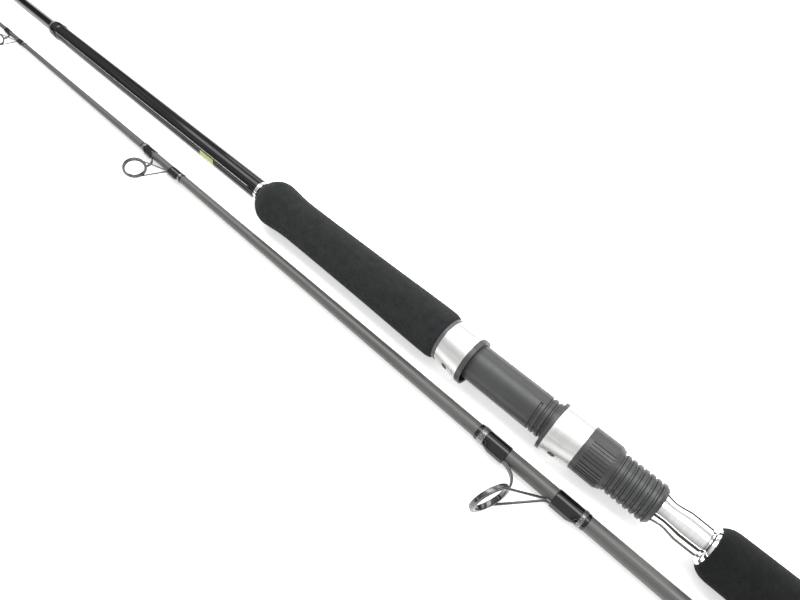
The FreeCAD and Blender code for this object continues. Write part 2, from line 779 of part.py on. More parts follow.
make_tip_blank()
tube("socket_wrap", "tip", "dims.socket_end", "dims.socket_end + 32", "dims.tip_base_radius + 0.03",
     "6.75")
tube("socket_trim", "tip", "dims.socket_end + 32", "dims.socket_end + 35",
     "dims.tip_base_radius - 0.1", "6.5")
for guide, station, ring, blank in GUIDES:
    make_guide_frame(guide)
    make_guide_ring(guide)
    make_guide_sleeve(guide + "_front_wrap", guide, [(0.61, 1.85)], 0.05, 0.09)
    make_guide_sleeve(guide + "_rear_wrap", guide, [(-3.35, -2.02)], 0.05, 0.09)
    make_guide_sleeve(guide + "_trim_front", guide, [(1.85, 2.2)], 0, 0.04)
    make_guide_sleeve(guide + "_trim_rear", guide, [(-3.55, -3.35)], 0, 0.04)
make_tip_top_frame()
make_tip_top_ring()
tube("tip_top_wrap", "tip", "dims.tip_end - 18", "dims.tip_end - 13.2", "1.1", "1.5")

doc.recompute()
os.makedirs("parts", exist_ok=True)
for item in doc.Objects:
    if "Invalid" in item.State or "Error" in item.State:
        raise RuntimeError("%s failed: %s" % (item.Name, item.State))
pieces = [item for item in doc.Objects if item.TypeId == "PartDesign::Body"]
for piece in pieces:
    if piece.Shape.isNull() or not piece.Shape.isValid():
        raise RuntimeError("%s has no valid shape" % piece.Label)
for piece in pieces:
    piece.Shape.exportStep("parts/%s.step" % piece.Label)
    print("%-22s solids %d volume %10.1f" % (piece.Label, len(piece.Shape.Solids), piece.Shape.Volume))
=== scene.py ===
import json
import math

import bpy
from mathutils import Matrix, Vector

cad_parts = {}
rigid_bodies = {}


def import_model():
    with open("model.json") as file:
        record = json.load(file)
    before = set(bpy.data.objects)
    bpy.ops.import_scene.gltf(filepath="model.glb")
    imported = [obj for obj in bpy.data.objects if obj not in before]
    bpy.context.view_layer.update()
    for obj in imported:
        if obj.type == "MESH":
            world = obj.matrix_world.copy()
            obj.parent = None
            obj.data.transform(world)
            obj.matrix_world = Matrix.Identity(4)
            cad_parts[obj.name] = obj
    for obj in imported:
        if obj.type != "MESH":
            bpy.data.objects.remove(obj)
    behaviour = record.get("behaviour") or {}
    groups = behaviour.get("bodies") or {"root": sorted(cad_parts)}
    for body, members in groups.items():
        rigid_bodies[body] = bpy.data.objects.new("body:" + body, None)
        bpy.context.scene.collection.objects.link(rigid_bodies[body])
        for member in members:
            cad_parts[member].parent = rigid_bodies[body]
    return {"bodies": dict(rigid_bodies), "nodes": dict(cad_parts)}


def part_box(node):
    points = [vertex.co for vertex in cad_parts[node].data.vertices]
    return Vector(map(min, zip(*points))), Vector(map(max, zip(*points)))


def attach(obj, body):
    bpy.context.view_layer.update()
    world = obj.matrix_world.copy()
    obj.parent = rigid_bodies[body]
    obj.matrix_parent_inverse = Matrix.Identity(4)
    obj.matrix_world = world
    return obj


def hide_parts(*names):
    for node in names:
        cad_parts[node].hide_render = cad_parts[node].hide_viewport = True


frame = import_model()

# A two-section spinning rod, taken apart, its sections side by side on a white floor.
# Sizes are written in millimetres and turned into metres when a mesh is made. As in the CAD,
# places along a section are "stations", counted toward the tip from the middle of the reel
# seat's barrel, and angles round a section go from +Y up to +Z.

MM = 0.001
KEPT_NAMES = set(frame["nodes"]) | {empty.name for empty in frame["bodies"].values()}
for leftover in [item for item in bpy.data.objects if item.name not in KEPT_NAMES]:
    bpy.data.objects.remove(leftover)
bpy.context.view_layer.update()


def node_centre(name):
    low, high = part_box(name)
    return (low + high) / 2 / MM


CAP_STATION = -576
STATION_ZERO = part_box("butt_cap")[0].x / MM - CAP_STATION
BUTT_AXIS = node_centre("foregrip").yz
TIP_AXIS = node_centre("tip_blank").yz
AXES = {"butt": BUTT_AXIS, "tip": TIP_AXIS}
BODIES = {"butt": "butt_section", "tip": "tip_section"}
SEAM_ANGLE = -90


def on_section(section):
    """The matrix that takes (station, y, z) in millimetres from a section's axis to the world."""
    axis = AXES[section]
    return Matrix.Scale(MM, 4) @ Matrix.Translation((STATION_ZERO, axis.x, axis.y))


# ---------------------------------------------------------------- material helpers

def new_material(name, **finish):
    """A material whose shader's own sockets hold the values that are the same all over."""
    made = bpy.data.materials.new(name)
    made.use_nodes = True
    shader = made.node_tree.nodes["Principled BSDF"]
    for socket, value in finish.items():
        shader.inputs[socket.replace("_", " ")].default_value = value
    return made


def wire(material, source, socket):
    """Link an output to one of the shader's sockets."""
    shader = material.node_tree.nodes["Principled BSDF"]
    material.node_tree.links.new(source, shader.inputs[socket])


def add_node(material, kind, inputs=(), **settings):
    """Add a node; inputs are (socket, value or output) pairs."""
    node = material.node_tree.nodes.new(kind)
    for setting, value in settings.items():
        setattr(node, setting, value)
    for socket, value in inputs:
        if isinstance(value, bpy.types.NodeSocket):
            material.node_tree.links.new(value, node.inputs[socket])
        else:
            node.inputs[socket].default_value = value
    return node


def stretched(material, along, across):
    """Object coordinates scaled along the rod and across it, in features per metre."""
    place = add_node(material, "ShaderNodeTexCoord")
    mapping = add_node(material, "ShaderNodeMapping",
                       [("Vector", place.outputs["Object"]), ("Scale", (along, across, across))])
    return mapping.outputs["Vector"]


def noise(material, vector, detail=3, roughness=0.55):
    node = add_node(material, "ShaderNodeTexNoise",
                    [("Vector", vector), ("Scale", 1), ("Detail", detail), ("Roughness", roughness)])
    return node.outputs["Fac"]


def cells(material, vector):
    node = add_node(material, "ShaderNodeTexVoronoi", [("Vector", vector), ("Scale", 1)])
    return node.outputs["Distance"]


def calculate(material, operation, first, second=0.0, third=0.0):
    node = add_node(material, "ShaderNodeMath", [(0, first), (1, second), (2, third)],
                    operation=operation)
    return node.outputs["Value"]


def graded(material, factor, stops):
    """A colour ramp; stops are (position, grey or colour)."""
    node = add_node(material, "ShaderNodeValToRGB", [("Fac", factor)])
    ramp = node.color_ramp
    while len(ramp.elements) < len(stops):
        ramp.elements.new(0.5)
    for element, (position, colour) in zip(ramp.elements, stops):
        if not hasattr(colour, "__len__"):
            colour = (colour, colour, colour)
        element.position = position
        element.color = (*colour, 1)
    return node.outputs["Color"]


def blended(material, factor, first, second):
    """A mix of two colours or outputs."""
    node = add_node(material, "ShaderNodeMix", data_type="RGBA")
    pairs = ((0, factor), (6, first), (7, second))
    for index, value in pairs:
        if isinstance(value, bpy.types.NodeSocket):
            material.node_tree.links.new(value, node.inputs[index])
        elif index:
            node.inputs[index].default_value = (*value, 1)
    return node.outputs[2]


def raised(material, height, depth):
    """Use a height as the shader's bump; depth is in metres."""
    bump = add_node(material, "ShaderNodeBump",
                    [("Height", height), ("Strength", 1), ("Distance", depth)])
    wire(material, bump.outputs["Normal"], "Normal")


def round_section(material):
    """Outputs for the angle round a turned piece, in turns, and the station, in metres."""
    surface = add_node(material, "ShaderNodeUVMap", uv_map="surface")
    parts = add_node(material, "ShaderNodeSeparateXYZ", [("Vector", surface.outputs["UV"])])
    return parts.outputs["X"], parts.outputs["Y"]


def within(material, value, low, high, edge):
    """1 between low and high, falling to 0 over edge on each side."""
    rising = add_node(material, "ShaderNodeMapRange",
                      [("Value", value), ("From Min", low - edge), ("From Max", low)])
    falling = add_node(material, "ShaderNodeMapRange",
                       [("Value", value), ("From Min", high + edge), ("From Max", high)])
    return calculate(material, "MULTIPLY", rising.outputs["Result"], falling.outputs["Result"])


def turns(angle):
    """An angle in degrees as the turned pieces' first coordinate."""
    return (angle - SEAM_ANGLE) / 360


# ---------------------------------------------------------------- materials

# The thickness of the winding thread, in metres.
THREAD_PITCH = 0.0005


def foam_material(name, dark, light, depth):
    """Ground closed-cell foam: fine cells, soft mottling and a faint sheen."""
    made = new_material(name, Roughness=0.9, Sheen_Weight=0.03, Sheen_Roughness=0.6,
                        Specular_IOR_Level=0.15)
    mottling = noise(made, stretched(made, 160, 160), 5, 0.7)
    grain = noise(made, stretched(made, 1700, 1700), 2)
    tone = calculate(made, "MULTIPLY_ADD", grain, 0.45, calculate(made, "MULTIPLY", mottling, 0.55))
    wire(made, graded(made, tone, [(0.33, dark), (0.68, light)]), "Base Color")
    pits = calculate(made, "ADD", cells(made, stretched(made, 1500, 1500)), grain)
    raised(made, pits, depth)
    return made


def blank_material():
    """Black fibre composite under lacquer, with drawn-out fibres, a pinstripe and a label panel."""
    made = new_material("blank_lacquer", Roughness=0.4, Specular_IOR_Level=0.0, Coat_Weight=0.7,
                        Coat_Roughness=0.08, Coat_IOR=1.45)
    turn, station = round_section(made)
    fibres = noise(made, stretched(made, 9, 1500), 3, 0.6)
    colour = graded(made, fibres, [(0.3, 0.003), (0.55, 0.008), (0.78, 0.05)])
    panel_turns = (turns(-20), turns(29))
    panel_stations = (0.298, 0.316)
    panel = calculate(made, "MULTIPLY", within(made, turn, *panel_turns, 0.002),
                      within(made, station, *panel_stations, 0.0004))
    colour = blended(made, panel, colour, (0.5, 0.53, 0.2))
    stripe_turns = (turns(38.6), turns(40.4))
    stripe_stations = (0.254, 0.56)
    stripe = calculate(made, "MULTIPLY", within(made, turn, *stripe_turns, 0.001),
                       within(made, station, *stripe_stations, 0.002))
    colour = blended(made, stripe, colour, (0.78, 0.78, 0.76))
    wire(made, colour, "Base Color")
    raised(made, fibres, 0.00002)
    return made


def graphite_material():
    """Unlacquered fibre composite: satin grey with the fine ridges that its tape left."""
    made = new_material("blank_satin", Metallic=0.2, Specular_IOR_Level=0.5)
    fibres = noise(made, stretched(made, 14, 1300), 3, 0.65)
    wire(made, graded(made, fibres, [(0.3, (0.075, 0.076, 0.073)), (0.72, (0.12, 0.12, 0.116))]),
         "Base Color")
    wire(made, graded(made, noise(made, stretched(made, 60, 400)), [(0.3, 0.36), (0.7, 0.46)]),
         "Roughness")
    ridges = noise(made, stretched(made, 900, 18), 1)
    raised(made, ridges, 0.00004)
    return made


def plastic_material(name, dark, light, rough, depth):
    """Glass-filled nylon: slight flow marks, a fine sanded grain and worn high spots."""
    made = new_material(name, Specular_IOR_Level=0.55)
    marks = noise(made, stretched(made, 24, 70), 4, 0.6)
    wire(made, graded(made, marks, [(0.3, dark), (0.7, light)]), "Base Color")
    wire(made, graded(made, noise(made, stretched(made, 300, 300)), [(0.3, rough - 0.05),
                                                                    (0.7, rough + 0.07)]),
         "Roughness")
    raised(made, noise(made, stretched(made, 2600, 2600), 2), depth)
    return made


def metal_material(name, tone, rough, rings, depth):
    """Turned or brushed metal, with rings lines a metre running round the rod."""
    made = new_material(name, Metallic=1.0)
    lines = noise(made, stretched(made, rings, 22), 2, 0.7)
    wire(made, graded(made, lines, [(0.3, [c * 0.9 for c in tone]), (0.7, tone)]), "Base Color")
    wire(made, graded(made, lines, [(0.3, rough * 0.75), (0.7, rough * 1.25)]), "Roughness")
    raised(made, lines, depth)
    return made


def thread_height(material, pitch):
    """The rounded tops of thread wound at a pitch in metres."""
    place = add_node(material, "ShaderNodeTexCoord")
    parts = add_node(material, "ShaderNodeSeparateXYZ", [("Vector", place.outputs["Object"])])
    angle = calculate(material, "MULTIPLY", parts.outputs["X"], 2 * math.pi / pitch)
    return calculate(material, "ABSOLUTE", calculate(material, "SINE", angle))


def wrap_material():
    """Black winding thread under a thick, glossy coat of epoxy."""
    made = new_material("wrap_epoxy", Roughness=0.5, Specular_IOR_Level=0.0, Coat_Weight=1.0,
                        Coat_Roughness=0.015, Coat_IOR=1.5)
    thread = thread_height(made, THREAD_PITCH)
    # The base colour is lighter on the thread's raised tops and darker in the grooves between turns:
    # painted shade in the grooves.
    wire(made, graded(made, thread, [(0.1, 0.001), (0.9, 0.006)]), "Base Color")
    raised(made, thread, 0.00003)
    return made


def silver_thread_material():
    """Metallic winding thread under epoxy, with a sparkle from its twisted foil."""
    made = new_material("silver_thread", Metallic=1.0, Coat_Weight=1.0, Coat_Roughness=0.03)
    thread = thread_height(made, THREAD_PITCH)
    foil = cells(made, stretched(made, 2600, 2600))
    wire(made, graded(made, foil, [(0.1, 0.85), (0.4, 0.25), (0.7, 0.04)]), "Base Color")
    wire(made, graded(made, foil, [(0.1, 0.18), (0.9, 0.5)]), "Roughness")
    raised(made, calculate(made, "ADD", thread, foil), 0.00007)
    return made


def plated_material():
    """Guide frames: dark, smooth plating over steel wire and strip."""
    made = new_material("guide_plating", Metallic=1.0)
    clouds = noise(made, stretched(made, 500, 500), 3)
    wire(made, graded(made, clouds, [(0.3, (0.09, 0.092, 0.096)), (0.7, (0.15, 0.152, 0.158))]),
         "Base Color")
    wire(made, graded(made, clouds, [(0.3, 0.16), (0.7, 0.26)]), "Roughness")
    raised(made, clouds, 0.00001)
    return made


def ceramic_material():
    """Polished dark ceramic."""
    made = new_material("guide_ceramic", Specular_IOR_Level=0.8, Coat_Weight=0.6,
                        Coat_Roughness=0.03)
    clouds = noise(made, stretched(made, 700, 700), 2)
    wire(made, graded(made, clouds, [(0.3, 0.006), (0.7, 0.014)]), "Base Color")
    wire(made, graded(made, clouds, [(0.3, 0.08), (0.7, 0.16)]), "Roughness")
    return made


def arbor_material():
    """Pale, coarse, rigid foam between the seat and the blank."""
    made = new_material("arbor_foam", Roughness=0.9)
    pores = cells(made, stretched(made, 900, 900))
    wire(made, graded(made, pores, [(0.05, (0.5, 0.46, 0.34)), (0.5, (0.72, 0.68, 0.55))]),
         "Base Color")
    raised(made, pores, 0.0003)
    return made


def floor_material():
    """A smooth white floor that glows a little, so that shadows on it stay pale."""
    made = new_material("floor_paint", Roughness=0.9, Specular_IOR_Level=0.1,
                        Emission_Color=(1, 1, 1, 1), Emission_Strength=0.5)
    tone = noise(made, stretched(made, 3, 3), 2)
    wire(made, graded(made, tone, [(0.3, 0.93), (0.7, 0.96)]), "Base Color")
    return made


MATERIALS = {
    "blank_gloss": blank_material(),
    "blank_graphite": graphite_material(),
    "cap_rubber": plastic_material("cap_rubber", 0.012, 0.02, 0.72, 0.00008),
    "grip_foam_dark": foam_material("rear_foam", (0.0035, 0.004, 0.004), (0.012, 0.013, 0.013), 0.00022),
    "grip_foam": foam_material("fore_foam", (0.009, 0.0105, 0.0105), (0.026, 0.029, 0.029), 0.00018),
    "polished_metal": metal_material("sleeve_chrome", (0.93, 0.93, 0.92), 0.06, 700, 0.000002),
    "seat_plastic": plastic_material("seat_nylon", (0.034, 0.036, 0.034), (0.045, 0.048, 0.045),
                                     0.4, 0.00003),
    "hood_metal": metal_material("hood_satin", (0.72, 0.72, 0.71), 0.42, 3500, 0.0000015),
    "arbor_foam": arbor_material(),
    "trim_plastic": plastic_material("trim_nylon", 0.07, 0.09, 0.4, 0.00002),
    "wrap_thread": wrap_material(),
    "check_metal": metal_material("check_bright", (0.86, 0.86, 0.85), 0.16, 3000, 0.00001),
    "metallic_thread": silver_thread_material(),
    "ring_steel": metal_material("spring_steel", (0.5, 0.5, 0.5), 0.3, 2000, 0.00001),
    "guide_metal": plated_material(),
    "guide_ceramic": ceramic_material(),
}
SHARP_ANGLE = math.radians(38)


# ---------------------------------------------------------------- mesh helpers

def build(name, points, faces, matrix, slot, body, replaced=(), coordinates=None):
    """Make a smooth piece from points and faces, and tie it to its body, slot and CAD nodes."""
    mesh = bpy.data.meshes.new(name)
    mesh.from_pydata([matrix @ Vector(point) for point in points], [], faces)
    if coordinates:
        layer = mesh.uv_layers.new(name="surface")
        for polygon in mesh.polygons:
            uvs = [coordinates[mesh.loops[index].vertex_index] for index in polygon.loop_indices]
            wraps = max(u for u, v in uvs) - min(u for u, v in uvs) > 0.5
            for index, (u, v) in zip(polygon.loop_indices, uvs):
                layer.data[index].uv = (u + 1 if wraps and u < 0.5 else u, v)
    mesh.shade_smooth()
    mesh.set_sharp_from_angle(angle=SHARP_ANGLE)
    mesh.materials.append(MATERIALS[slot])
    mesh.validate()
    piece = bpy.data.objects.new(name, mesh)
    bpy.context.scene.collection.objects.link(piece)
    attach(piece, body)
    if replaced:
        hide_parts(*replaced)
    return piece


def grid_faces(rows, columns, closed_rows):
    """Faces between rows of points that each go all the way round."""
    faces = []
    for row in range(rows if closed_rows else rows - 1):
        below = row * columns
        above = (row + 1) % rows * columns
        for column in range(columns):
            after = (column + 1) % columns
            faces.append((below + column, below + after, above + after, above + column))
    return faces


def rounded(corners, radius, steps=4):
    """The corners of an outline, each replaced by a short arc; the outline is closed."""
    made = []
    count = len(corners)
    for index, corner in enumerate(corners):
        corner = Vector(corner)
        before = Vector(corners[index - 1]) - corner
        after = Vector(corners[(index + 1) % count]) - corner
        reach = min(radius, before.length * 0.45, after.length * 0.45)
        start = corner + before.normalized() * reach
        end = corner + after.normalized() * reach
        for step in range(steps + 1):
            share = step / steps
            made.append(tuple(start.lerp(corner, share).lerp(corner.lerp(end, share), share)))
    return made


def flowing(points, steps=6):
    """A smooth line through points, each (station, radius), that never overshoots them."""
    slopes = [(b[1] - a[1]) / (b[0] - a[0]) for a, b in zip(points, points[1:])]
    tangents = [slopes[0]]
    for before, after in zip(slopes, slopes[1:]):
        tangents.append(0 if before * after <= 0 else 2 * before * after / (before + after))
    tangents.append(slopes[-1])
    line = [points[0]]
    for i, (a, b) in enumerate(zip(points, points[1:])):
        run = b[0] - a[0]
        for step in range(1, steps + 1):
            t = step / steps
            radius = ((1 + 2 * t) * (1 - t) ** 2 * a[1] + t * (1 - t) ** 2 * run * tangents[i]
                      + t * t * (3 - 2 * t) * b[1] + t * t * (t - 1) * run * tangents[i + 1])
            line.append((a[0] + run * t, radius))
    return line


def lathe(name, section, outline, slot, replaced=(), columns=96):
    """Turn a closed outline of (station, radius) about a section's axis.

    An outline that begins and ends on the axis is closed there with a point at each end.
    """
    solid = outline[0][1] == 0
    inner = outline[1:-1] if solid else outline
    points = []
    coordinates = []
    for station, radius in inner:
        for column in range(columns):
            turn = column / columns
            angle = math.radians(SEAM_ANGLE) + 2 * math.pi * turn
            points.append((station, radius * math.cos(angle), radius * math.sin(angle)))
            coordinates.append((turn, station * MM))
    faces = grid_faces(len(inner), columns, not solid)
    if solid:
        for station, ring, flip in ((outline[0][0], 0, False), (outline[-1][0], len(inner) - 1, True)):
            centre = len(points)
            points.append((station, 0, 0))
            coordinates.append((0.5, station * MM))
            for column in range(columns):
                pair = (ring * columns + column, ring * columns + (column + 1) % columns)
                faces.append((centre, *(pair if flip else reversed(pair))))
    return build(name, points, faces, on_section(section), slot, BODIES[section], replaced,
                 coordinates)


def sleeve(name, section, outside, bore, slot, replaced=(), **more):
    """A turned tube: an outside line of (station, radius), rear to front, and a bore radius."""
    rear, front = outside[0][0], outside[-1][0]
    outline = [(front, bore), (rear, bore)] + list(outside)
    return lathe(name, section, outline, slot, replaced, **more)


def sweep(path, ups, section):
    """Points and faces of a closed section carried along a path; both ends are capped.

    section(share) gives the outline, as (aside, upward) offsets, at a share of the path's length.
    """
    points = []
    count = len(path)
    for index, place in enumerate(path):
        ahead = path[min(index + 1, count - 1)] - path[max(index - 1, 0)]
        ahead.normalize()
        upward = (ups[index] - ahead * ups[index].dot(ahead)).normalized()
        aside = upward.cross(ahead)
        for across, rise in section(index / (count - 1)):
            points.append(place + aside * across + upward * rise)
    columns = len(points) // count
    faces = grid_faces(count, columns, False)
    faces.append(tuple(reversed(range(columns))))
    faces.append(tuple(range((count - 1) * columns, count * columns)))
    return points, faces


def joined(*parts):
    """Several sets of points and faces as one."""
    points = []
    faces = []
    for some_points, some_faces in parts:
        offset = len(points)
        points += some_points
        faces += [tuple(offset + index for index in face) for face in some_faces]
    return points, faces


# ---------------------------------------------------------------- butt section

BLANK_REAR = -566
FORE_REAR = 46.2
FORE_FRONT = 238
STOP_WRAP_FRONT = 572
BLANK_BORE = 9.05
CAP_FRONT = -548
REAR_GRIP_FRONT = -147.5

sleeve("butt_blank_lacquered", "butt",
       flowing([(BLANK_REAR, 8.95), (250, 8.4), (330, 8.15), (480, 7.7), (573.2, 7.2)], 12)
       + [(574, 6.9), (574.2, 5.4), (574.6, 5.25), (673, 5.25), (674, 4.9)],
       3.75, "blank_gloss", ["butt_blank"], columns=128)

lathe("butt_cap_moulded", "butt",
      [(CAP_STATION, 0), (CAP_STATION, 9), (CAP_STATION + 0.4, 12.4)]
      + flowing([(CAP_STATION + 0.5, 12.6), (CAP_STATION + 1.7, 15.6), (CAP_STATION + 3.6, 17.6),
                 (CAP_STATION + 7, 18.5), (-549, 18.5)])
      + [(-548.3, 18.2), (CAP_FRONT, 17.6), (CAP_FRONT, BLANK_BORE), (BLANK_REAR, BLANK_BORE),
         (BLANK_REAR, 0)],
      "cap_rubber", ["butt_cap"])

rear_outline = flowing([(-547.4, 17.8), (-347.5, 16.7), (-156, 16.7), (-152.5, 16.35),
                        (-149.5, 15.2), (-147.7, 13.9)], 10)
sleeve("rear_grip_foam", "butt", [(CAP_FRONT, 17.3)] + rear_outline + [(REAR_GRIP_FRONT, 13.6)],
       BLANK_BORE, "grip_foam_dark", ["rear_grip"], columns=128)

sleeve("seat_end_sleeve_chrome", "butt",
       [(REAR_GRIP_FRONT, 12.2), (-147.2, 12.4)]
       + flowing([(-146.9, 12.4), (-145.6, 11.9), (-144.6, 11.0)])
       + [(-144, 10.7), (-143, 11.1), (-142.6, 11.2)]
       + flowing([(-129.8, 11.2), (-126, 10.4), (-122.8, 9.8), (-119, 10.4), (-115.3, 11.3)]),
       BLANK_BORE, "polished_metal", ["seat_end_sleeve"])

sleeve("front_trim_ring_moulded", "butt",
       [(43.7, 15.7), (44, 16), (45.9, 16), (FORE_REAR, 15.8)], BLANK_BORE, "trim_plastic",
       ["front_trim_ring"])

fore_outline = flowing([(FORE_REAR + 0.3, 16.1), (FORE_REAR + 2, 17.3), (FORE_REAR + 6, 17.9),
                        (120, 17), (196, 16.5), (207, 16.9), (218, 18.1), (224, 18.5), (228, 17.9),
                        (232.5, 15.8), (236.5, 12.6), (237.8, 10.6)], 10)
sleeve("foregrip_foam", "butt", [(FORE_REAR, 15.8)] + fore_outline + [(FORE_FRONT, 10.2)],
       BLANK_BORE, "grip_foam", ["foregrip"], columns=128)

sleeve("check_wrap_epoxy", "butt",
       flowing([(FORE_FRONT, 9.0), (238.5, 9.35), (239.6, 9.4), (240.8, 9.25), (241.2, 8.9)], 3), 8.3,
       "wrap_thread", ["check_wrap"])
sleeve("winding_check_turned", "butt",
       [(241.2, 8.7), (241.5, 8.9), (242.6, 8.9), (242.8, 8.78), (243.1, 8.9), (244.1, 8.86),
        (244.4, 8.6)], 8.35, "check_metal", ["winding_check"])
sleeve("stop_wrap_epoxy", "butt",
       flowing([(561, 7.35), (561.5, 7.75), (563, 8.05), (568, 8.1), (571.6, 7.95),
                (STOP_WRAP_FRONT, 7.6)], 3),
       7.15, "wrap_thread", ["stop_wrap"])
sleeve("stop_trim_thread", "butt",
       [(STOP_WRAP_FRONT, 7.5), (572.3, 7.8), (573.7, 7.8), (574, 7.5)], 7.1, "metallic_thread",
       ["stop_trim"])


# ---------------------------------------------------------------- tip section

lathe("tip_blank_satin", "tip",
      [(-195, 0), (-195, 5.3), (-299.7, 5.3), (-300, 5.5), (-300, 6.0), (-299.7, 6.2)]
      + flowing([(-299, 6.2), (-126, 5.35), (-25, 5.05), (304, 3.75), (422, 3.25), (580, 2.5),
                 (946.8, 0.95)], 10) + [(947, 0.8), (947, 0)],
      "blank_graphite", ["tip_blank"])
sleeve("socket_wrap_epoxy", "tip",
       flowing([(-299.6, 6.25), (-299, 6.6), (-297.5, 6.75), (-270, 6.75), (-268.4, 6.5),
                (-268, 6.25)], 4), 6.1, "wrap_thread", ["socket_wrap"])
sleeve("socket_trim_thread", "tip", [(-268, 6.3), (-267.7, 6.5), (-265.3, 6.5), (-265, 6.3)], 6.05,
       "metallic_thread", ["socket_trim"])
sleeve("tip_top_wrap_epoxy", "tip",
       flowing([(932, 1.1), (932.6, 1.42), (934.4, 1.5), (936.3, 1.42), (936.8, 1.2)], 3), 0.9,
       "wrap_thread", ["tip_top_wrap"], columns=48)


# ---------------------------------------------------------------- guides

# Each guide's station, ring radius and blank radius.
GUIDES = {
    "guide_1": (-41.5, 13.5, 5.1),
    "guide_2": (350, 9.85, 3.56),
    "guide_3": (617, 7.2, 2.36),
    "guide_4": (765, 5.4, 1.77),
    "guide_5": (867, 4.4, 1.32),
}
GUIDE_ROLL = math.radians(13)
GUIDE_LEAN = math.radians(22)
GUIDE_RISE = 2.3

# Guide sizes and stations that follow, like the rise, are in ring radii.
FOOT_LIFT = 0.06
FOOT_HALF_THICK = 0.05
STRAP_HALF_WIDTH = 0.12
STRAP_START = 1.8
STRAP_BEND = 0.61
STRAP_END = -0.36
LEGS_START = -3
LEGS_BEND = -2.02
LEGS_END = -0.092
LEGS_TOP = 2.07
LEGS_ASIDE = 0.07
LEGS_REACH = 0.92
LEG_RADIUS = 0.06
LEG_BEND_RADIUS = 0.4
WRAP_COVER = 0.045
FRONT_WRAP_START = 2.4
FRONT_BAND = (1.88, 2.2)
REAR_WRAP_START = -3.75
REAR_BAND = (-3.55, -3.35)

# The share of the strap's length over which its foot grows to full size.
STRAP_TAPER = 0.3


def on_guide(station):
    """From a guide's own frame, +Z out through its ring, to the world."""
    return (on_section("tip") @ Matrix.Translation((station, 0, 0))
            @ Matrix.Rotation(GUIDE_ROLL - math.pi / 2, 4, "X"))


def hoop(outline, centre_height, columns=96):
    """Turn a closed (radius, along) outline about the guide ring's leaning axis."""
    axis = Vector((math.cos(GUIDE_LEAN), 0, -math.sin(GUIDE_LEAN)))
    outward = Vector((math.sin(GUIDE_LEAN), 0, math.cos(GUIDE_LEAN)))
    sideways = Vector((0, 1, 0))
    centre = Vector((0, 0, centre_height))
    points = []
    for radius, along in outline:
        for column in range(columns):
            angle = 2 * math.pi * column / columns
            spoke = outward * math.cos(angle) + sideways * math.sin(angle)
            points.append(centre + axis * along + spoke * radius)
    return points, grid_faces(len(outline), columns, True)


def leg_line(start, bend, end_station, climb, bend_radius=None):
    """(station, height) points of a leg: straight to the bend, round it, then straight to its end.

    Without a bend radius the leg is one curve from the bend to its end.
    """
    run = abs(end_station - bend)
    side = math.copysign(1, end_station - bend)
    if bend_radius is None:
        radius = (run ** 2 + climb ** 2) / (2 * climb)
        turn = 2 * math.atan2(climb, run)
    else:
        radius = bend_radius
        turn = math.atan2(climb - radius, run) + math.asin(radius / math.hypot(run, climb - radius))
    line = [(start + (bend - start) * share / 6, 0) for share in range(6)]
    steps = 20
    for step in range(steps + 1):
        angle = turn * step / steps
        line.append((bend + side * radius * math.sin(angle), radius * (1 - math.cos(angle))))
    if bend_radius is not None:
        last_station, last_height = line[-1]
        for step in range(1, 7):
            line.append((last_station + (end_station - last_station) * step / 6,
                         last_height + (climb - last_height) * step / 6))
    return line


def strap_part(line, foot, half_width, half_thick, taper):
    """A flat strap with a pressed groove along its middle, thin at the start of its foot.

    taper is the share of its length over which the foot grows to full size.
    """
    path = [Vector((station, 0, foot + height)) for station, height in line]
    count = len(path)
    ups = []
    for index in range(count):
        ahead = path[min(index + 1, count - 1)] - path[max(index - 1, 0)]
        ups.append(Vector((-ahead.z, 0, ahead.x)) * math.copysign(1, line[-1][0] - line[0][0]))

    def section(share):
        thin = min(1, 0.25 + share / taper)
        wide = half_width * min(1, 0.55 + share / taper * 0.45)
        thick = half_thick * thin
        low = -half_thick
        top = low + 2 * thick
        edge = min(0.3 * thick, 0.25 * wide)
        groove = 0.16 * wide
        return [(-wide, low + edge), (-wide, top - edge), (-wide + edge, top), (-groove, top),
                (0, top - groove), (groove, top), (wide - edge, top), (wide, top - edge),
                (wide, low + edge), (wide - edge, low), (groove, low), (0, low + groove),
                (-groove, low), (-wide + edge, low)]

    return sweep(path, ups, section)


def wire_leg(line, foot, aside, splay, thick, columns=16):
    """A round leg whose plane leans splay radians outward from its foot's line."""
    lean = Vector((0, math.sin(splay), math.cos(splay)))
    path = [Vector((station, aside, foot)) + lean * height for station, height in line]
    ups = [Vector((0, math.cos(splay), -math.sin(splay)))] * len(path)

    def section(share):
        size = thick * min(1, 0.5 + share * 5)
        return [(size * math.cos(2 * math.pi * c / columns), size * math.sin(2 * math.pi * c / columns))
                for c in range(columns)]

    return sweep(path, ups, section)


def rear_legs(start, bend, end_station, top, foot, aside, reach, thick, bend_radius=None):
    """Both rear legs, side by side on the blank and splayed to the ring's two sides."""
    outward = reach - aside
    climb = top - foot
    parts = []
    for side in (1, -1):
        splay = side * math.atan2(outward, climb)
        line = leg_line(start, bend, end_station, math.hypot(outward, climb), bend_radius)
        parts.append(wire_leg(line, foot, side * aside, splay, thick))
    return parts


def rear_foot(ring, foot):
    """The flat foot under the rear legs, thin at its end."""
    path = [Vector((station * ring, 0, foot)) for station in (-3.3, -3.0, -2.7, -2.4, -2.1)]
    ups = [Vector((0, 0, 1))] * len(path)

    def section(share):
        half = ring * (0.08 + 0.05 * min(1, 3 * share))
        high = ring * (-0.03 + 0.07 * min(1, 3 * share))
        low = -0.05 * ring
        return rounded([(-half, low, 0), (-half, high, 0), (half, high, 0), (half, low, 0)],
                       0.03 * ring, 2)

    return sweep(path, ups, lambda share: [corner[:2] for corner in section(share)])


